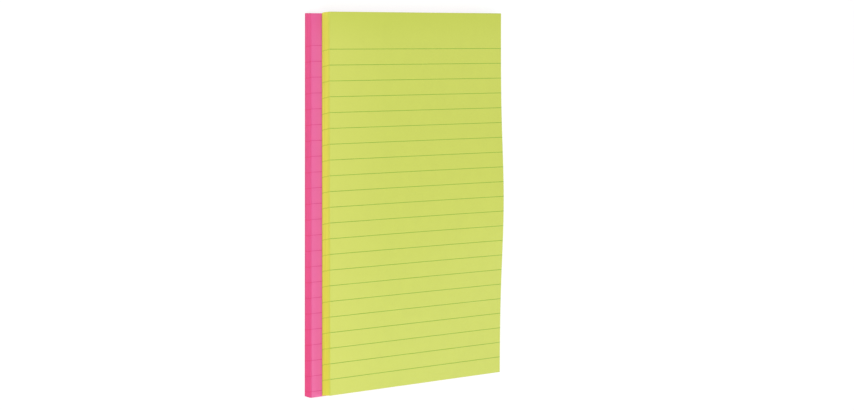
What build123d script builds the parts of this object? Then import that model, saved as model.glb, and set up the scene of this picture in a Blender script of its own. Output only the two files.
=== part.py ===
from build123d import *
import os
from math import exp

# Lined sticky note pad: two blocks of sheets, the front one stuck on the rear one and
# staggered to the right. It lies on its back. X runs across a sheet, Y towards the glued
# end, Z up, with the origin at the middle of the rear block's back. Millimetres.

# One sheet, as cut
sheet_width = 127.0
sheet_length = 203.2

# Height of each block at its glued end and at its loose end, where the sheets part a little
rear_glued_height = 5.2
rear_loose_height = 5.7
front_glued_height = 5.2
front_loose_height = 5.7

# Place of the front block's lowest sheet on the rear block's face
stagger_right = 6.75
stagger_up = 0.15

# How far the front block's top sheet has slipped past its lowest one
lean_right = 1.45
lean_up = 0.7

# The front block's loose right edge, where the sheets spring apart in a long low wave
wave_height = 2.7
wave_from_loose_end = 98.0
wave_spread = 31.0
wave_reach = 95.0

# How far the surfaces that trim a block run past it, and how many points shape the waved one
trim_margin = 12.0
wave_points = 28

loose_end = -sheet_length / 2
glued_end = sheet_length / 2
front_right_edge = stagger_right + sheet_width / 2 + lean_right


def between_ends(loose_value, glued_value, y):
    """Value at y that goes evenly from the loose end to the glued end."""
    return loose_value + (glued_value - loose_value) * (y - loose_end) / sheet_length


def seam_height(y):
    """Height of the rear block's face, on which the front block is stuck."""
    return between_ends(rear_loose_height, rear_glued_height, y)


def front_height(x, y):
    """Height of the front block's face, with the wave that grows towards its right edge."""
    flat = seam_height(y) + between_ends(front_loose_height, front_glued_height, y)
    from_crest = y - (loose_end + wave_from_loose_end)
    along = exp(-((from_crest / wave_spread) ** 2) / 2)
    across = max(0.0, 1 - (front_right_edge - x) / wave_reach) ** 2
    return flat + wave_height * along * across


def evenly(low, high):
    """Coordinates from low to high with the trimming margin past both ends."""
    step = (high - low + 2 * trim_margin) / (wave_points - 1)
    return [low - trim_margin + step * i for i in range(wave_points)]


def front_face():
    """The waved surface that tops the front block, wider than the block."""
    columns = evenly(-sheet_width / 2 + stagger_right, front_right_edge)
    rows = evenly(loose_end, glued_end)
    points = [[(x, y, front_height(x, y)) for y in rows] for x in columns]
    return Face.make_surface_from_array_of_points(points, tol=0.002, min_deg=3, max_deg=5)


seam = Plane(
    origin=(0, 0, seam_height(0)),
    x_dir=(1, 0, 0),
    z_dir=(0, rear_loose_height - rear_glued_height, sheet_length),
)


def rear_sheet_block():
    """Squarely stacked sheets: a straight block whose face slopes to the glued end."""
    tall_enough = 2 * max(rear_loose_height, rear_glued_height)
    block = extrude(Rectangle(sheet_width, sheet_length), tall_enough)
    return split(block, bisect_by=seam, keep=Keep.BOTTOM)


def front_sheet_block():
    """Slipped sheets: a leaning block on the seam, topped by the waved face."""
    outline = seam * Pos(stagger_right, stagger_up) * Rectangle(sheet_width, sheet_length)
    middle_height = (front_loose_height + front_glued_height) / 2
    lean = Vector(lean_right, lean_up, middle_height)
    tall_enough = 2 * (max(front_loose_height, front_glued_height) + wave_height)
    block = extrude(outline, lean.length * tall_enough / middle_height, dir=lean)
    return split(block, bisect_by=front_face(), keep=Keep.BOTTOM)


os.makedirs("parts", exist_ok=True)
export_step(rear_sheet_block(), "parts/rear_sheet_block.step")
export_step(front_sheet_block(), "parts/front_sheet_block.step")
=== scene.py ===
import math
import random

import bmesh
import bpy
from mathutils import Matrix, Vector, noise


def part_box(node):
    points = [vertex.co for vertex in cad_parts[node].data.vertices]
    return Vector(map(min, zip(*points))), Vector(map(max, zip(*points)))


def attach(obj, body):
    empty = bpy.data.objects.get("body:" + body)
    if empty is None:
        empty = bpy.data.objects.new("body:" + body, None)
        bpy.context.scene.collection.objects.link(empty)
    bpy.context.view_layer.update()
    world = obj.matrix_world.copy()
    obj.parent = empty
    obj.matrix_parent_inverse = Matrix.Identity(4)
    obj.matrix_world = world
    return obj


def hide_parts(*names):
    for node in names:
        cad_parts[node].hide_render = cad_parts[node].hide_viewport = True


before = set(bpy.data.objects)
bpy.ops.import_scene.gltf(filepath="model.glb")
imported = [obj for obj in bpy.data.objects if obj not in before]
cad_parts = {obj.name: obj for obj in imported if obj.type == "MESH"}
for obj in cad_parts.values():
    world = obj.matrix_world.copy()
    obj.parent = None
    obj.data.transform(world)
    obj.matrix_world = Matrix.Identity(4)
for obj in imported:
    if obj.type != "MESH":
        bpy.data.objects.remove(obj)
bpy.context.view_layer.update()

bl_info = {
    "name": "Lined Sticky Note Pad",
    "version": (1, 0, 0),
    "blender": (4, 5, 0),
    "location": "View3D > Sidebar > Note Pad",
    "description": "Dresses a staggered pad of ruled sticky sheets: stacked sheets, ruling and a studio",
    "category": "Object",
}

MM = 0.001
REAR_LOW, REAR_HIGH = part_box("rear_sheet_block")
FRONT_LOW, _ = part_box("front_sheet_block")

# What the frame gives: a sheet's size, the seam between the blocks and the stagger
SHEET_WIDTH = REAR_HIGH.x - REAR_LOW.x
SHEET_LENGTH = REAR_HIGH.y - REAR_LOW.y
LOOSE_END = REAR_LOW.y
SEAM_LOOSE = REAR_HIGH.z
SEAM_GLUED = FRONT_LOW.z
FRONT_START = Vector((FRONT_LOW.x, FRONT_LOW.y))
REAR_START = Vector((REAR_LOW.x, REAR_LOW.y))

PAGE_MAP = "page"
RISE = "rise"
WAVE_GROUP = "wave"
ACROSS, ALONG, UP = 0, 1, 2

# How near a rise is to none or all of it, how much of an edge runs along its axis, and the widest
# angle between two faces that are shaded as one
NEARLY = 0.001
ALIGNED = 0.9
SMOOTH_BELOW = math.radians(30)

# Sheets: rings of vertices to each edge, the share of its slip that the next sheet follows, and how
# quickly the ripple changes, to the metre along an edge and from sheet to sheet
PARTS_OF_A_SHEET = 3
SLIP_FOLLOWED = 0.9
RIPPLE_RUN = 25
RIPPLE_STEP = 0.37
REAR_SEED = 3
FRONT_SEED = 8

# Where each side of a block lies on the map that its paints are baked through: lowest and highest
# corner. The cut edges get far more room than their size, so that single sheets stay apart.
BAKE_MAP = "OFBake"
BAKE_PLACES = {
    "face": ((0.01, 0.42), (0.99, 0.99)),
    "back": ((0.01, 0.22), (0.48, 0.40)),
    "loose": ((0.51, 0.32), (0.99, 0.40)),
    "glued": ((0.51, 0.22), (0.99, 0.30)),
    "left": ((0.01, 0.12), (0.99, 0.20)),
    "right": ((0.01, 0.01), (0.99, 0.10)),
}


class SheetSizes(bpy.types.PropertyGroup):
    """How the sheets are stacked."""

    count: bpy.props.IntProperty(
        name="Sheets", description="Sheets in each block", default=45, min=5, max=90)
    groove: bpy.props.FloatProperty(
        name="Groove", description="Depth of the groove between the edges of two sheets",
        default=0.035 * MM, unit="LENGTH", precision=6)
    slip: bpy.props.FloatProperty(
        name="Slip", description="How far a sheet lies out of line with the next one",
        default=0.03 * MM, unit="LENGTH", precision=6)
    ripple: bpy.props.FloatProperty(
        name="Ripple", description="How unevenly a sheet's edge runs along the block",
        default=0.04 * MM, unit="LENGTH", precision=6)
    undercut: bpy.props.FloatProperty(
        name="Undercut", description="How far the front block's lowest sheets lie back under the rest",
        default=0.45 * MM, unit="LENGTH", precision=5)
    undercut_sheets: bpy.props.IntProperty(
        name="Undercut sheets", description="How many of the front block's lowest sheets lie back",
        default=5)
    front_loose: bpy.props.FloatProperty(
        name="Loose end", description="Height of the front block at its loose end",
        default=5.7 * MM, unit="LENGTH", precision=5)
    front_glued: bpy.props.FloatProperty(
        name="Glued end", description="Height of the front block at its glued end",
        default=5.2 * MM, unit="LENGTH", precision=5)
    lean: bpy.props.FloatVectorProperty(
        name="Lean", description="How far the front block's top sheet has slipped past its lowest",
        default=(1.45 * MM, 0.7 * MM), size=2, unit="LENGTH", precision=5)
    wave_height: bpy.props.FloatProperty(
        name="Wave height", description="How far the front block's right edge springs up",
        default=2.7 * MM, unit="LENGTH", precision=5)
    wave_from_end: bpy.props.FloatProperty(
        name="Wave place", description="Distance of the wave's crest from the loose end",
        default=98 * MM, unit="LENGTH", precision=4)
    wave_spread: bpy.props.FloatProperty(
        name="Wave spread", description="Length of the wave along the edge, as its standard deviation",
        default=31 * MM, unit="LENGTH", precision=4)
    wave_reach: bpy.props.FloatProperty(
        name="Wave reach", description="How far the wave runs in from the right edge",
        default=95 * MM, unit="LENGTH", precision=4)
    cuts_across: bpy.props.IntProperty(
        name="Cuts across", description="Cuts that shape a face across the sheet", default=20)
    cuts_along: bpy.props.IntProperty(
        name="Cuts along", description="Cuts that shape a face along the sheet", default=48)


class RulingSizes(bpy.types.PropertyGroup):
    """How the sheets are ruled."""

    pitch: bpy.props.FloatProperty(
        name="Spacing", description="Distance from line to line",
        default=8.327 * MM, unit="LENGTH", precision=5)
    width: bpy.props.FloatProperty(
        name="Line width", description="Width of a ruled line",
        default=0.32 * MM, unit="LENGTH", precision=5)
    body: bpy.props.FloatProperty(
        name="Ink body", description="Height of a line's ink bar, half of it in the paper",
        default=0.05 * MM, unit="LENGTH", precision=6)
    tick_width: bpy.props.FloatProperty(
        name="Tick width", description="Width of a line's end where it shows on a sheet's cut edge",
        default=0.45 * MM, unit="LENGTH", precision=5)
    drift: bpy.props.FloatProperty(
        name="Drift", description="How far the print drifts from a block's top sheet to its lowest",
        default=0.7 * MM, unit="LENGTH", precision=5)
    register: bpy.props.FloatProperty(
        name="Register", description="How unevenly the print lies from sheet to sheet",
        default=0.1 * MM, unit="LENGTH", precision=5)
    front_first: bpy.props.FloatProperty(
        name="First line, front", description="First line on the front sheets, from the loose end",
        default=183.59 * MM, unit="LENGTH", precision=5)
    front_lines: bpy.props.IntProperty(
        name="Lines, front", description="Lines on a front sheet", default=22)
    rear_first: bpy.props.FloatProperty(
        name="First line, rear", description="First line on the rear sheets, from the loose end",
        default=186.4 * MM, unit="LENGTH", precision=5)
    rear_lines: bpy.props.IntProperty(
        name="Lines, rear", description="Lines on a rear sheet", default=23)


class PaperColours(bpy.types.PropertyGroup):
    """Colours of the papers, the painted light that pales each face towards one side, their cut edges and
    the ink.
    """

    lime: bpy.props.FloatVectorProperty(
        name="Lime paper", description="Face of the front sheets",
        default=(0.585, 0.651, 0.102), subtype="COLOR", min=0, max=1)
    # Painted light: the front face pales along its left edge as if more light fell there
    lime_painted_light: bpy.props.FloatVectorProperty(
        name="Lime margin", description="What the face of the front sheets pales to along its left edge",
        default=(0.66, 0.696, 0.137), subtype="COLOR", min=0, max=1)
    # Painted light: how far in from the left edge the front face pales
    painted_light_reach: bpy.props.FloatProperty(
        name="Margin reach", description="How far the front face's left margin is paler",
        default=42 * MM, unit="LENGTH", precision=4)
    lime_edge: bpy.props.FloatVectorProperty(
        name="Lime edges", description="Cut edges of the front sheets",
        default=(0.745, 0.74, 0.11), subtype="COLOR", min=0, max=1)
    lime_ink: bpy.props.FloatVectorProperty(
        name="Ink on lime", description="Ruled lines on the front sheets",
        default=(0.27, 0.455, 0.056), subtype="COLOR", min=0, max=1)
    lime_tick: bpy.props.FloatVectorProperty(
        name="Ticks on lime", description="Line ends on the cut edges of the front sheets",
        default=(0.36, 0.488, 0.045), subtype="COLOR", min=0, max=1)
    pink: bpy.props.FloatVectorProperty(
        name="Pink paper", description="Face of the rear sheets",
        default=(0.79, 0.118, 0.338), subtype="COLOR", min=0, max=1)
    # Painted light: the rear face pales beside the front block, against the shade that falls there
    pink_painted_light: bpy.props.FloatVectorProperty(
        name="Pink margin", description="What the face of the rear sheets pales to beside the front block",
        default=(0.845, 0.206, 0.5), subtype="COLOR", min=0, max=1)
    pink_edge: bpy.props.FloatVectorProperty(
        name="Pink edges", description="Cut edges of the rear sheets",
        default=(0.832, 0.123, 0.308), subtype="COLOR", min=0, max=1)
    pink_ink: bpy.props.FloatVectorProperty(
        name="Ink on pink", description="Ruled lines on the rear sheets",
        default=(0.705, 0.075, 0.255), subtype="COLOR", min=0, max=1)
    pink_tick: bpy.props.FloatVectorProperty(
        name="Ticks on pink", description="Line ends on the cut edges of the rear sheets",
        default=(0.745, 0.055, 0.185), subtype="COLOR", min=0, max=1)


class StudioSetup(bpy.types.PropertyGroup):
    """Floor, light and camera."""

    ambient: bpy.props.FloatProperty(
        name="Ambient", description="Strength of the even light from all round", default=0.545)
    key_power: bpy.props.FloatProperty(
        name="Key light", description="Power of the large soft lamp", default=19.4, unit="POWER")
    key_side: bpy.props.FloatProperty(
        name="Key size", description="Side of the large soft lamp", default=1.04, unit="LENGTH")
    key_place: bpy.props.FloatVectorProperty(
        name="Key place", description="Where the large soft lamp hangs, high on the left",
        default=(-0.97, -0.2, 1.6), subtype="XYZ", unit="LENGTH")
    fill_power: bpy.props.FloatProperty(
        name="Fill light", description="Power of the low soft lamp at the loose end", default=0.2,
        unit="POWER")
    fill_side: bpy.props.FloatProperty(
        name="Fill size", description="Side of the low soft lamp at the loose end", default=0.25,
        unit="LENGTH")
    fill_place: bpy.props.FloatVectorProperty(
        name="Fill place", description="Where the low soft lamp at the loose end stands",
        default=(-0.1, -0.5, 0.3), subtype="XYZ", unit="LENGTH")
    sheen_power: bpy.props.FloatProperty(
        name="Sheen light", description="Power of the lamp that the paper mirrors softly", default=0.28,
        unit="POWER")
    sheen_side: bpy.props.FloatProperty(
        name="Sheen size", description="Side of the lamp that the paper mirrors softly", default=0.15,
        unit="LENGTH")
    sheen_place: bpy.props.FloatVectorProperty(
        name="Sheen place", description="Where the lamp hangs that the paper mirrors softly, on the right",
        default=(0.478, -0.21, 0.518), subtype="XYZ", unit="LENGTH")
    floor_side: bpy.props.FloatProperty(
        name="Floor size", description="Side of the floor", default=8.0, unit="LENGTH")
    camera_place: bpy.props.FloatVectorProperty(
        name="Camera place", description="Where the camera stands",
        default=(-0.84202, 0.09497, 0.92465), subtype="XYZ", unit="LENGTH", precision=5)
    camera_aim: bpy.props.FloatVectorProperty(
        name="Camera aim", description="Point on the front face that the camera looks at",
        default=(0.01485, -0.00269, 0.0109), subtype="XYZ", unit="LENGTH", precision=5)
    camera_roll: bpy.props.FloatProperty(
        name="Camera roll", description="Turn of the camera about its line of sight",
        default=math.radians(0.27), subtype="ANGLE")
    camera_lens: bpy.props.FloatProperty(
        name="Lens", description="Focal length on a full-frame sensor", default=96.53, unit="CAMERA")


# Heights


def between_ends(loose_value, glued_value, y):
    """Value at y that goes evenly from the loose end to the glued end."""
    return loose_value + (glued_value - loose_value) * (y - LOOSE_END) / SHEET_LENGTH


def seam_height(y):
    """Height of the rear block's face, on which the front block is stuck."""
    return between_ends(SEAM_LOOSE, SEAM_GLUED, y)


def face_height(sheets, y):
    """Height of the front block's face where it lies flat."""
    return seam_height(y) + between_ends(sheets.front_loose, sheets.front_glued, y)


def wave_share(sheets, place):
    """How much of the wave's height the front face has at a place, from 0 to 1."""
    right_edge = FRONT_START.x + SHEET_WIDTH + sheets.lean[0]
    from_crest = place.y - (LOOSE_END + sheets.wave_from_end)
    along = math.exp(-((from_crest / sheets.wave_spread) ** 2) / 2)
    across = max(0.0, 1 - (right_edge - place.x) / sheets.wave_reach) ** 2
    return along * across


# Modelling helpers


def start_solid(name, middle, size):
    """A cuboid of that size round middle, alone in the selection, with its place in its mesh."""
    bpy.ops.object.select_all(action="DESELECT")
    bpy.ops.mesh.primitive_cube_add(size=1, location=middle, scale=size)
    bpy.ops.object.transform_apply(location=True, rotation=True, scale=True)
    piece = bpy.context.object
    piece.name = piece.data.name = name
    while piece.data.uv_layers:
        piece.data.uv_layers.remove(piece.data.uv_layers[0])
    return piece


def shift_where(test, by):
    """Moves the vertices of the mesh in edit mode whose place passes the test."""
    mesh = bmesh.from_edit_mesh(bpy.context.object.data)
    for vertex in mesh.verts:
        vertex.select_set(test(vertex.co))
    mesh.select_flush_mode()
    bmesh.update_edit_mesh(bpy.context.object.data)
    bpy.ops.transform.translate(value=by)


def cut_edges(axis, cuts):
    """Cuts every edge that runs along an axis into equal lengths, in edit mode."""
    bpy.ops.mesh.select_mode(type="EDGE")
    bpy.ops.mesh.select_all(action="DESELECT")
    mesh = bmesh.from_edit_mesh(bpy.context.object.data)
    for edge in mesh.edges:
        run = edge.verts[1].co - edge.verts[0].co
        if abs(run[axis]) > ALIGNED * run.length:
            edge.select_set(True)
    bmesh.update_edit_mesh(bpy.context.object.data)
    bpy.ops.mesh.subdivide(number_cuts=cuts)
    bpy.ops.mesh.select_mode(type="VERT")


def weigh(piece, group_name, weight_of):
    """Writes a vertex group whose weights come from each vertex's place."""
    group = piece.vertex_groups.new(name=group_name)
    for vertex in piece.data.vertices:
        group.add([vertex.index], weight_of(vertex.co), "REPLACE")


def raise_wave(piece, sheets, moves):
    """Lifts the vertices that move with the front face by the wave along the right edge."""
    weigh(piece, WAVE_GROUP, lambda place: wave_share(sheets, place) if moves(place) else 0.0)
    lift = piece.modifiers.new("wave", "DISPLACE")
    lift.direction = "Z"
    lift.mid_level = 0.0
    lift.strength = sheets.wave_height
    lift.vertex_group = WAVE_GROUP
    bpy.ops.object.modifier_apply(modifier=lift.name)
    piece.vertex_groups.remove(piece.vertex_groups[WAVE_GROUP])


def write_page_map(piece, start):
    """UV map of a sheet: across it and along it, in shares of its size, on every face."""
    layer = piece.data.uv_layers.new(name=PAGE_MAP)
    for loop in piece.data.loops:
        place = piece.data.vertices[loop.vertex_index].co
        layer.data[loop.index].uv = (
            (place.x - start.x) / SHEET_WIDTH, (place.y - start.y) / SHEET_LENGTH)


# Blocks of sheets


def sloped_block(name, start, low, high):
    """A block on start whose underside and face slope from the loose end to the glued end."""
    middle = Vector((start.x + SHEET_WIDTH / 2, start.y + SHEET_LENGTH / 2))
    low_mid, high_mid = low(middle.y), high(middle.y)
    size = (SHEET_WIDTH, SHEET_LENGTH, high_mid - low_mid)
    block = start_solid(name, (middle.x, middle.y, (low_mid + high_mid) / 2), size)
    write_page_map(block, start)
    bpy.ops.object.mode_set(mode="EDIT")
    half_way = (low_mid + high_mid) / 2
    for y in (start.y, start.y + SHEET_LENGTH):
        shift_where(lambda at: abs(at.y - y) < MM and at.z < half_way, (0, 0, low(y) - low_mid))
        shift_where(lambda at: abs(at.y - y) < MM and at.z > half_way, (0, 0, high(y) - high_mid))
    bpy.ops.object.mode_set(mode="OBJECT")
    return block


def cut_into_sheets(block, sheets, ruling, start, lean, undercut_sheets, seed):
    """Cuts the walls of a block into sheet edges, each a little out of line, with grooves between."""
    bpy.ops.object.mode_set(mode="EDIT")
    cut_edges(UP, sheets.count - 1)
    cut_edges(UP, PARTS_OF_A_SHEET - 1)
    bpy.ops.object.mode_set(mode="OBJECT")
    dice = random.Random(seed)
    slips = [Vector((0, 0))]
    for _ in range(sheets.count - 1):
        step = Vector((dice.gauss(0, sheets.slip), dice.gauss(0, sheets.slip)))
        slips.append(slips[-1] * SLIP_FOLLOWED + step)
    slips[-1] = Vector((0, 0))
    rings = sheets.count * PARTS_OF_A_SHEET
    rise = block.data.attributes[RISE].data
    ring_of = [round(rise[vertex.index].value * rings) for vertex in block.data.vertices]
    for vertex in block.data.vertices:
        ring = ring_of[vertex.index]
        if ring == rings:
            continue
        sheet, part = divmod(ring, PARTS_OF_A_SHEET)
        place = vertex.co
        page = place.xy - start - lean * (ring / rings)
        outward = Vector((
            -1 if page.x < MM else 1 if page.x > SHEET_WIDTH - MM else 0,
            -1 if page.y < MM else 1 if page.y > SHEET_LENGTH - MM else 0))
        spot = (page.x * RIPPLE_RUN, page.y * RIPPLE_RUN, sheet * RIPPLE_STEP + seed)
        run = noise.noise(spot) * sheets.ripple
        back = sheets.groove if part == 0 else 0.0
        back += sheets.undercut if sheet < undercut_sheets else 0.0
        move = slips[sheet] + outward * (run - back)
        place.x += move.x
        place.y += move.y
    shift_print(block, ruling, ring_of, rings, dice)


def shift_print(block, ruling, ring_of, rings, dice):
    """Moves the page map of each sheet below the top one, as its print lies out of register."""
    registers = [dice.gauss(0, ruling.register) for _ in range(rings // PARTS_OF_A_SHEET)]
    page_map = block.data.uv_layers[PAGE_MAP].data
    for loop in block.data.loops:
        ring = ring_of[loop.vertex_index]
        if ring < rings:
            drift = ruling.drift * (1 - ring / rings) + registers[ring // PARTS_OF_A_SHEET]
            page_map[loop.index].uv.y += drift / SHEET_LENGTH


def side_of(block, face):
    """Name of the side of a block that a face lies on."""
    rises = [block.data.attributes[RISE].data[index].value for index in face.vertices]
    if min(rises) > 1 - NEARLY:
        return "face"
    if max(rises) < NEARLY:
        return "back"
    if abs(face.normal.x) > abs(face.normal.y):
        return "right" if face.normal.x > 0 else "left"
    return "glued" if face.normal.y > 0 else "loose"


def lay_out_map(block, sides):
    """UV map for baking, each side in its own place: a page's shares on it, or its length and the rise."""
    block.data.uv_layers.new(name=BAKE_MAP)
    page, bake = block.data.uv_layers[PAGE_MAP].data, block.data.uv_layers[BAKE_MAP].data
    rise = block.data.attributes[RISE].data
    for face, side in zip(block.data.polygons, sides):
        low, high = (Vector(corner) for corner in BAKE_PLACES[side])
        for index in face.loop_indices:
            across, along = page[index].uv
            up = rise[block.data.loops[index].vertex_index].value
            u = across if side in ("loose", "glued") else along
            v = across if side in ("face", "back") else up
            bake[index].uv = low + Vector((u, v)) * (high - low)


def finish_block(block, on_faces, on_walls):
    """One paper on the face and the back, another on the walls, and clean shading."""
    block.data.materials.append(on_faces)
    block.data.materials.append(on_walls)
    sides = [side_of(block, face) for face in block.data.polygons]
    for face, side in zip(block.data.polygons, sides):
        face.material_index = 0 if side in ("face", "back") else 1
    lay_out_map(block, sides)
    bpy.ops.object.shade_smooth_by_angle(angle=SMOOTH_BELOW)


def stack_sheets(name, sheets, ruling, start, low, high, lean, waved, undercut_sheets, seed):
    """A block of stacked sheets from start, between two heights, as one closed skin."""
    def is_top(place):
        return place.z > (low(place.y) + high(place.y)) / 2

    block = sloped_block(name, start, low, high)
    rise = block.data.attributes.new(RISE, "FLOAT", "POINT")
    for vertex in block.data.vertices:
        rise.data[vertex.index].value = 1.0 if is_top(vertex.co) else 0.0
    bpy.ops.object.mode_set(mode="EDIT")
    shift_where(is_top, (*lean, 0))
    cut_edges(ACROSS, sheets.cuts_across)
    cut_edges(ALONG, sheets.cuts_along)
    bpy.ops.object.mode_set(mode="OBJECT")
    if waved:
        raise_wave(block, sheets, is_top)
    cut_into_sheets(block, sheets, ruling, start, lean, undercut_sheets, seed)
    return block


# Ruled lines


def rule_lines(name, sheets, ruling, left, right, first, count, height, slope):
    """Ink bars across a face, the first at its place and the rest below it."""
    bar = start_solid(
        name, ((left + right) / 2, first, height), (right - left, ruling.width, ruling.body))
    bpy.ops.object.mode_set(mode="EDIT")
    cut_edges(ACROSS, sheets.cuts_across)
    bpy.ops.object.mode_set(mode="OBJECT")
    rows = bar.modifiers.new("rows", "ARRAY")
    rows.count = count
    rows.use_relative_offset = False
    rows.use_constant_offset = True
    rows.constant_offset_displace = (0, -ruling.pitch, -ruling.pitch * slope)
    bpy.ops.object.modifier_apply(modifier=rows.name)
    return bar


# Materials

# Paper faces: how many features a metre holds, which shades of the paper they take, how much they show
CLOUD_SCALE = 140
CLOUD_SHADES = (0.97, 1.03)
TOOTH_SCALE = 2600
TOOTH_HEIGHT = 0.03 * MM
TOOTH_STRENGTH = 0.20
FLECK_SHADE = 0.93
FLECK_SHARE = 0.30
DARK_FIBRES = (620, 0.80)
PALE_FIBRES = (810, 1.20)
FIBRE_SHARE = 0.22
# Share of the painted light where a face is palest
PAINTED_LIGHT_SHARE = 0.4
FACE_ROUGHNESS = 0.31
TOOTH_ROUGHNESS = 0.10
FACE_GLOSS = 0.4

# A pressed fibre: where a noise is this near its middle, in pieces that a finer noise leaves of it
NOISE_MIDDLE = 0.5
FIBRE_NEAR = (0.022, 0.006)
FIBRE_PIECES = (0.52, 0.60)
FIBRE_BREAKS = 1.7

# Cut edges: how the streaks are drawn out across, along and up the block, then as for the faces
STREAK_RUN = (0.012, 0.012, 1.0)
BUNDLE_SCALE = 1700
BUNDLE_SHADES = (0.86, 1.12)
SHEET_EDGE_SCALE = 7000
SHEET_EDGE_SHADE = 0.78
SHEET_EDGE_SHARE = 0.30
TOPMOST_SHADE = 0.97
# Painted shade of the lowest edges
PAINTED_CONTACT_SHADE = 0.35
TICK_SHARE = 0.55
HALF_ROW = 0.5
EDGE_ROUGHNESS = 0.82
SHEET_EDGE_ROUGHNESS = 0.12
EDGE_GLOSS = 0.1

# Where a tone sets in, where it is full and its share there: painted shade towards the glued end and
# painted light that deepens the edges towards the loose end, as shares of a sheet's length, and on the
# topmost edges and the painted shade of the lowest edges, as shares of the rise
GLUED_END_PAINTED_SHADE = (0.915, 1.0, 0.42)
LOOSE_END_PAINTED_LIGHT = (0.45, 0.10, 0.4)
TOPMOST_EDGES = (0.70, 0.92, 0.65)
LOWEST_EDGES = (0.12, 0.02, 0.35)
DEEPER_POWER = 1.28

# Ink of the ruled lines
INK_SCALE = 1800
INK_SHADES = (0.88, 1.12)
INK_ROUGHNESS = 0.62
INK_UNEVENNESS = 0.15
INK_GLOSS = 0.2

# Floor: its greys as a surface that lights the pad, and what makes it white to look at, with the shadow
FLOOR_SCALE = 6
FLOOR_GREYS = (0.93, 0.96)
SHADOW_GREY = 0.2
FLOOR_GLOW = 0.83
FLOOR_GAP = 0.02 * MM


def add_node(tree, kind, inputs=None, **settings):
    """A node with its settings made and its inputs linked or filled."""
    made = tree.nodes.new(kind)
    for key, value in settings.items():
        setattr(made, key, value)
    for key, value in (inputs or {}).items():
        if isinstance(value, bpy.types.NodeSocket):
            tree.links.new(value, made.inputs[key])
        else:
            made.inputs[key].default_value = value
    return made


def maths(tree, operation, first, second=0.0, third=0.0):
    """Output of a Math node."""
    made = add_node(tree, "ShaderNodeMath", {0: first, 1: second, 2: third}, operation=operation)
    return made.outputs[0]


def mixed(tree, share, low, high):
    """Colour between two colours."""
    made = add_node(tree, "ShaderNodeMix", {0: share, 6: low, 7: high}, data_type="RGBA")
    return made.outputs[2]


def share_between(tree, value, none_at, all_at, most=1.0):
    """Share that goes from 0 to the most as a value goes between two marks."""
    made = add_node(tree, "ShaderNodeMapRange", {
        "Value": value, "From Min": none_at, "From Max": all_at, "To Max": most})
    return made.outputs[0]


def grain(tree, places, scale, detail):
    """Noise of a scale, in features to the metre."""
    made = add_node(tree, "ShaderNodeTexNoise", {"Vector": places, "Scale": scale, "Detail": detail})
    return made.outputs["Fac"]


def object_places(tree):
    """Object coordinates."""
    return add_node(tree, "ShaderNodeTexCoord").outputs["Object"]


def page_place(tree):
    """Place on the sheet, across it and along it, in shares of its size."""
    page = add_node(tree, "ShaderNodeUVMap", uv_map=PAGE_MAP)
    return add_node(tree, "ShaderNodeSeparateXYZ", {0: page.outputs[0]}).outputs


def grey(level):
    """A grey with alpha."""
    return (level, level, level, 1.0)


def shade(colour, factor):
    """A colour with alpha, lighter or darker."""
    return (*(min(1.0, channel * factor) for channel in colour), 1.0)


def shades(colour, factors):
    """A darker and a lighter shade of a colour."""
    return [shade(colour, factor) for factor in factors]


def deepen(colour):
    """A colour with alpha, as light has it that has passed through the paper more than once: painted light,
    and painted shade at the glued end.
    """
    return (*(channel ** DEEPER_POWER for channel in colour), 1.0)


def empty_material(name):
    """A material without nodes, and its tree."""
    material = bpy.data.materials.new(name)
    material.use_nodes = True
    material.node_tree.nodes.clear()
    return material, material.node_tree


def finish_material(tree, colour, rough, gloss, bump=None):
    """The shader with its colour, its roughness, how strongly it mirrors and any bump."""
    inputs = {"Base Color": colour, "Roughness": rough, "Specular IOR Level": gloss}
    if bump:
        inputs["Normal"] = bump
    shader = add_node(tree, "ShaderNodeBsdfPrincipled", inputs)
    add_node(tree, "ShaderNodeOutputMaterial", {"Surface": shader.outputs[0]})


def pressed_fibres(tree, places, scale):
    """How much short thin curved lines show: pieces of the contours where a noise crosses its middle."""
    away = maths(tree, "SUBTRACT", grain(tree, places, scale, 1.0), NOISE_MIDDLE)
    line = share_between(tree, maths(tree, "ABSOLUTE", away), *FIBRE_NEAR)
    piece = share_between(tree, grain(tree, places, scale * FIBRE_BREAKS, 0.0), *FIBRE_PIECES, FIBRE_SHARE)
    return maths(tree, "MULTIPLY", line, piece)


def face_paper(name, colour, pale_colour, pale_from, pale_to):
    """Matte uncoated paper: clouded pulp, pressed fibres, a faint tooth, painted light that pales it
    towards one side and painted shade that deepens it towards the glued end.
    """
    material, tree = empty_material(name)
    places = object_places(tree)
    across, along, _ = page_place(tree)
    cloud = grain(tree, places, CLOUD_SCALE, 3.0)
    tooth = grain(tree, places, TOOTH_SCALE, 3.0)
    paper = mixed(tree, cloud, *shades(colour, CLOUD_SHADES))
    paper = mixed(tree, maths(tree, "MULTIPLY", tooth, FLECK_SHARE), paper, shade(colour, FLECK_SHADE))
    for scale, factor in (DARK_FIBRES, PALE_FIBRES):
        paper = mixed(tree, pressed_fibres(tree, places, scale), paper, shade(colour, factor))
    # Painted light: the face pales towards one side
    margin = share_between(tree, across, pale_from / SHEET_WIDTH, pale_to / SHEET_WIDTH, PAINTED_LIGHT_SHARE)
    paper = mixed(tree, margin, paper, (*pale_colour, 1.0))
    # Painted shade: the face deepens and darkens towards the glued end
    paper = mixed(tree, share_between(tree, along, *GLUED_END_PAINTED_SHADE), paper, deepen(colour))
    rough = maths(tree, "MULTIPLY_ADD", tooth, TOOTH_ROUGHNESS, FACE_ROUGHNESS)
    bump = add_node(tree, "ShaderNodeBump", {
        "Strength": TOOTH_STRENGTH, "Distance": TOOTH_HEIGHT, "Height": tooth})
    finish_material(tree, paper, rough, FACE_GLOSS, bump.outputs[0])
    return material


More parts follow.
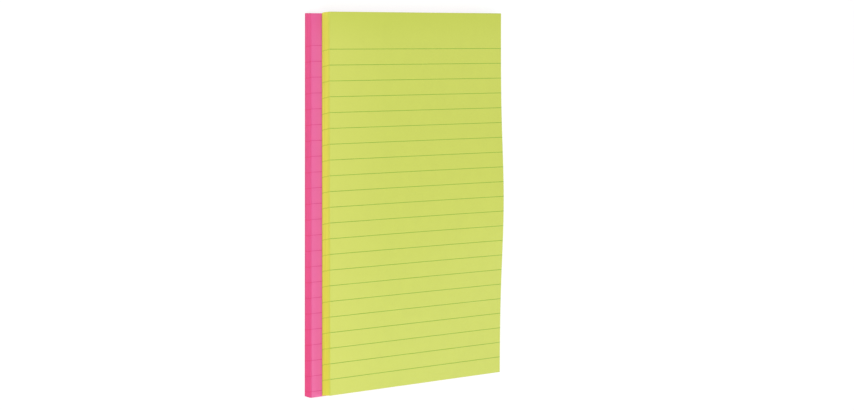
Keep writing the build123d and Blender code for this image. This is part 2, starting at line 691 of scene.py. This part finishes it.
def line_ends(tree, along, ruling, first, count):
    """How much ink shows on the cut edges, read from the page map, so that it follows each sheet."""
    rows = maths(tree, "MULTIPLY_ADD", along, -SHEET_LENGTH / ruling.pitch, first / ruling.pitch)
    off_row = maths(tree, "PINGPONG", rows, HALF_ROW)
    half = ruling.tick_width / 2 / ruling.pitch
    soft = half / 2
    near = share_between(tree, off_row, half + soft, half - soft, TICK_SHARE)
    after_first = maths(tree, "GREATER_THAN", rows, -HALF_ROW)
    before_last = maths(tree, "LESS_THAN", rows, count - HALF_ROW)
    return maths(tree, "MULTIPLY", near, maths(tree, "MULTIPLY", after_first, before_last))


def edge_paper(name, colour, face_colour, ink, ruling, first, count):
    """Cut edges of stacked sheets: streaks along them, topmost edges in the face's colour, painted shade on
    the lowest ones, line ends.
    """
    material, tree = empty_material(name)
    along = page_place(tree)[1]
    rise = add_node(tree, "ShaderNodeAttribute", attribute_name=RISE).outputs["Fac"]
    drawn_out = add_node(
        tree, "ShaderNodeVectorMath", {0: object_places(tree), 1: STREAK_RUN}, operation="MULTIPLY")
    bundles = grain(tree, drawn_out.outputs[0], BUNDLE_SCALE, 2.0)
    edges = grain(tree, drawn_out.outputs[0], SHEET_EDGE_SCALE, 1.0)
    streaks = maths(tree, "MULTIPLY", edges, SHEET_EDGE_SHARE)
    paper = mixed(tree, bundles, *shades(colour, BUNDLE_SHADES))
    paper = mixed(tree, streaks, paper, shade(colour, SHEET_EDGE_SHADE))
    # Painted light: the edges deepen towards the loose end, as light bounced between parted sheets
    paper = mixed(tree, share_between(tree, along, *LOOSE_END_PAINTED_LIGHT), paper, deepen(colour))
    paper = mixed(tree, share_between(tree, rise, *TOPMOST_EDGES), paper, shade(face_colour, TOPMOST_SHADE))
    # Painted shade: the lowest edges darken where they meet the floor or lie back under the front block
    paper = mixed(tree, share_between(tree, rise, *LOWEST_EDGES), paper, shade(colour, PAINTED_CONTACT_SHADE))
    paper = mixed(tree, line_ends(tree, along, ruling, first, count), paper, (*ink, 1.0))
    rough = maths(tree, "MULTIPLY_ADD", edges, SHEET_EDGE_ROUGHNESS, EDGE_ROUGHNESS)
    finish_material(tree, paper, rough, EDGE_GLOSS)
    return material


def ruling_ink(name, colour):
    """Thin printed ink, a little uneven where the paper takes it up."""
    material, tree = empty_material(name)
    uneven = grain(tree, object_places(tree), INK_SCALE, 3.0)
    body = mixed(tree, uneven, *shades(colour, INK_SHADES))
    rough = maths(tree, "MULTIPLY_ADD", uneven, INK_UNEVENNESS, INK_ROUGHNESS)
    finish_material(tree, body, rough, INK_GLOSS)
    return material


def shown_white(tree):
    """1 for a ray that shows the background: from the camera, a reflection or through glass."""
    path = add_node(tree, "ShaderNodeLightPath").outputs
    seen = maths(tree, "MAXIMUM", path["Is Camera Ray"], path["Is Glossy Ray"])
    return maths(tree, "MAXIMUM", seen, path["Is Transmission Ray"])


def floor_paint():
    """Pale floor that shows white where it is lit and keeps the shadow."""
    material, tree = empty_material("studio_floor")
    shown = shown_white(tree)
    clouds = grain(tree, object_places(tree), FLOOR_SCALE, 2.0)
    pale = mixed(tree, clouds, *(grey(level) for level in FLOOR_GREYS))
    matte = add_node(tree, "ShaderNodeBsdfDiffuse", {"Color": mixed(tree, shown, pale, grey(SHADOW_GREY))})
    glow = add_node(tree, "ShaderNodeEmission", {
        "Color": grey(1.0), "Strength": maths(tree, "MULTIPLY", shown, FLOOR_GLOW)})
    both = add_node(tree, "ShaderNodeAddShader", {0: matte.outputs[0], 1: glow.outputs[0]})
    add_node(tree, "ShaderNodeOutputMaterial", {"Surface": both.outputs[0]})
    return material


# Operators

# Width of a full-frame sensor, in millimetres
FULL_FRAME = 36.0


def settings_of(context):
    """Sheets, ruling and colours, as they are set."""
    scene = context.scene
    return scene.pad_sheets, scene.pad_ruling, scene.pad_colours


class NOTEPAD_OT_rear_sheets(bpy.types.Operator):
    """Stack the pink sheets of the rear block"""

    bl_idname = "notepad.rear_sheets"
    bl_label = "Stack Rear Sheets"

    def execute(self, context):
        sheets, ruling, colours = settings_of(context)
        block = stack_sheets(
            "rear_sheets", sheets, ruling, REAR_START, low=lambda y: 0.0, high=seam_height,
            lean=Vector((0, 0)), waved=False, undercut_sheets=0, seed=REAR_SEED)
        face = face_paper(
            "pink_face_paper", colours.pink, colours.pink_painted_light,
            pale_from=0.0, pale_to=FRONT_START.x - REAR_START.x)
        edges = edge_paper(
            "pink_cut_edges", colours.pink_edge, colours.pink, colours.pink_tick,
            ruling, ruling.rear_first, ruling.rear_lines)
        finish_block(block, face, edges)
        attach(block, "root")
        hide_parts("rear_sheet_block")
        return {"FINISHED"}


class NOTEPAD_OT_front_sheets(bpy.types.Operator):
    """Stack the lime sheets of the front block, with the wave along their right edge"""

    bl_idname = "notepad.front_sheets"
    bl_label = "Stack Front Sheets"

    def execute(self, context):
        sheets, ruling, colours = settings_of(context)
        block = stack_sheets(
            "front_sheets", sheets, ruling, FRONT_START,
            low=seam_height, high=lambda y: face_height(sheets, y), lean=Vector(sheets.lean),
            waved=True, undercut_sheets=sheets.undercut_sheets, seed=FRONT_SEED)
        face = face_paper(
            "lime_face_paper", colours.lime, colours.lime_painted_light,
            pale_from=colours.painted_light_reach, pale_to=0.0)
        edges = edge_paper(
            "lime_cut_edges", colours.lime_edge, colours.lime, colours.lime_tick,
            ruling, ruling.front_first, ruling.front_lines)
        finish_block(block, face, edges)
        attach(block, "root")
        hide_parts("front_sheet_block")
        return {"FINISHED"}


class NOTEPAD_OT_rear_ruling(bpy.types.Operator):
    """Rule the lines across the strip of the rear face that stays bare"""

    bl_idname = "notepad.rear_ruling"
    bl_label = "Rule Rear Face"

    def execute(self, context):
        sheets, ruling, colours = settings_of(context)
        first = REAR_START.y + ruling.rear_first
        slope = (seam_height(first + ruling.pitch) - seam_height(first)) / ruling.pitch
        lines = rule_lines(
            "rear_ruling", sheets, ruling, REAR_START.x, FRONT_START.x + sheets.undercut, first,
            ruling.rear_lines, seam_height(first), slope)
        lines.data.materials.append(ruling_ink("ink_on_pink", colours.pink_ink))
        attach(lines, "root")
        return {"FINISHED"}


class NOTEPAD_OT_front_ruling(bpy.types.Operator):
    """Rule the lines across the front face"""

    bl_idname = "notepad.front_ruling"
    bl_label = "Rule Front Face"

    def execute(self, context):
        sheets, ruling, colours = settings_of(context)
        left = FRONT_START.x + sheets.lean[0]
        first = FRONT_START.y + sheets.lean[1] + ruling.front_first
        height = face_height(sheets, first - sheets.lean[1])
        slope = (face_height(sheets, first) - face_height(sheets, first - ruling.pitch)) / ruling.pitch
        lines = rule_lines(
            "front_ruling", sheets, ruling, left, left + SHEET_WIDTH, first, ruling.front_lines,
            height, slope)
        raise_wave(lines, sheets, lambda place: True)
        lines.data.materials.append(ruling_ink("ink_on_lime", colours.lime_ink))
        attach(lines, "root")
        return {"FINISHED"}


class NOTEPAD_OT_studio(bpy.types.Operator):
    """Set the floor, the soft light and the camera"""

    bl_idname = "notepad.studio"
    bl_label = "Set Up Studio"

    def execute(self, context):
        studio = context.scene.pad_studio
        context.scene.view_settings.view_transform = "Standard"
        self.lay_floor(studio)
        self.light(context, studio)
        self.place_camera(context, studio)
        return {"FINISHED"}

    def lay_floor(self, studio):
        """The floor, just clear of the pad's back."""
        bpy.ops.object.select_all(action="DESELECT")
        bpy.ops.mesh.primitive_plane_add(size=studio.floor_side, location=(0, 0, -FLOOR_GAP))
        floor = bpy.context.object
        floor.name = "floor"
        floor.data.materials.append(floor_paint())

    def light(self, context, studio):
        """Even light from all round, white to look at, and three soft lamps."""
        world = bpy.data.worlds.new("studio_world")
        world.use_nodes = True
        tree = world.node_tree
        tree.nodes.clear()
        soft = add_node(tree, "ShaderNodeBackground", {"Color": grey(1.0), "Strength": studio.ambient})
        white = add_node(tree, "ShaderNodeBackground", {"Color": grey(1.0), "Strength": 1.0})
        both = add_node(
            tree, "ShaderNodeMixShader", {0: shown_white(tree), 1: soft.outputs[0], 2: white.outputs[0]})
        add_node(tree, "ShaderNodeOutputWorld", {"Surface": both.outputs[0]})
        context.scene.world = world
        self.hang_lamp("key_light", studio.key_place, studio.key_side, studio.key_power)
        self.hang_lamp(
            "fill_light", studio.fill_place, studio.fill_side, studio.fill_power, mirrored=False)
        self.hang_lamp("sheen_light", studio.sheen_place, studio.sheen_side, studio.sheen_power)

    def hang_lamp(self, name, place, side, power, mirrored=True):
        """A square lamp that faces the pad and that the paper mirrors or not."""
        bpy.ops.object.select_all(action="DESELECT")
        bpy.ops.object.light_add(type="AREA", location=place)
        lamp = bpy.context.object
        lamp.name = name
        lamp.data.size = side
        lamp.data.energy = power
        lamp.visible_glossy = mirrored
        lamp.rotation_mode = "QUATERNION"
        lamp.rotation_quaternion = (-Vector(place)).to_track_quat("-Z", "Y")

    def place_camera(self, context, studio):
        """The camera, with the sheets' length upright in its picture."""
        place, aim = Vector(studio.camera_place), Vector(studio.camera_aim)
        look = (aim - place).normalized()
        right = look.cross(Vector((0, 1, 0))).normalized()
        turn = Matrix((right, right.cross(look), -look)).transposed().to_4x4()
        bpy.ops.object.select_all(action="DESELECT")
        bpy.ops.object.camera_add()
        camera = bpy.context.object
        camera.name = "camera"
        roll = Matrix.Rotation(studio.camera_roll, 4, "Z")
        camera.matrix_world = Matrix.Translation(place) @ turn @ roll
        camera.data.sensor_width = FULL_FRAME
        camera.data.lens = studio.camera_lens
        context.scene.camera = camera


class NOTEPAD_PT_sidebar(bpy.types.Panel):
    """Sidebar panel of the note pad's operators and settings"""

    bl_idname = "NOTEPAD_PT_sidebar"
    bl_label = "Lined Sticky Note Pad"
    bl_space_type = "VIEW_3D"
    bl_region_type = "UI"
    bl_category = "Note Pad"

    def draw(self, context):
        for step in STEPS:
            self.layout.operator(step.bl_idname)
        for settings in SETTINGS:
            group = getattr(context.scene, settings)
            box = self.layout.box()
            for name in group.__annotations__:
                box.prop(group, name)


STEPS = (
    NOTEPAD_OT_rear_sheets,
    NOTEPAD_OT_front_sheets,
    NOTEPAD_OT_rear_ruling,
    NOTEPAD_OT_front_ruling,
    NOTEPAD_OT_studio,
)
SETTINGS = {
    "pad_sheets": SheetSizes,
    "pad_ruling": RulingSizes,
    "pad_colours": PaperColours,
    "pad_studio": StudioSetup,
}


def register():
    """Makes the settings, the operators and the panel known."""
    for group in SETTINGS.values():
        bpy.utils.register_class(group)
    for name, group in SETTINGS.items():
        setattr(bpy.types.Scene, name, bpy.props.PointerProperty(type=group))
    for step in STEPS:
        bpy.utils.register_class(step)
    bpy.utils.register_class(NOTEPAD_PT_sidebar)


def unregister():
    """Takes them away again."""
    bpy.utils.unregister_class(NOTEPAD_PT_sidebar)
    for step in reversed(STEPS):
        bpy.utils.unregister_class(step)
    for name, group in SETTINGS.items():
        delattr(bpy.types.Scene, name)
        bpy.utils.unregister_class(group)


def main():
    """Builds the pad and its studio."""
    register()
    bpy.ops.notepad.rear_sheets()
    bpy.ops.notepad.front_sheets()
    bpy.ops.notepad.rear_ruling()
    bpy.ops.notepad.front_ruling()
    bpy.ops.notepad.studio()


if __name__ == "__main__":
    main()
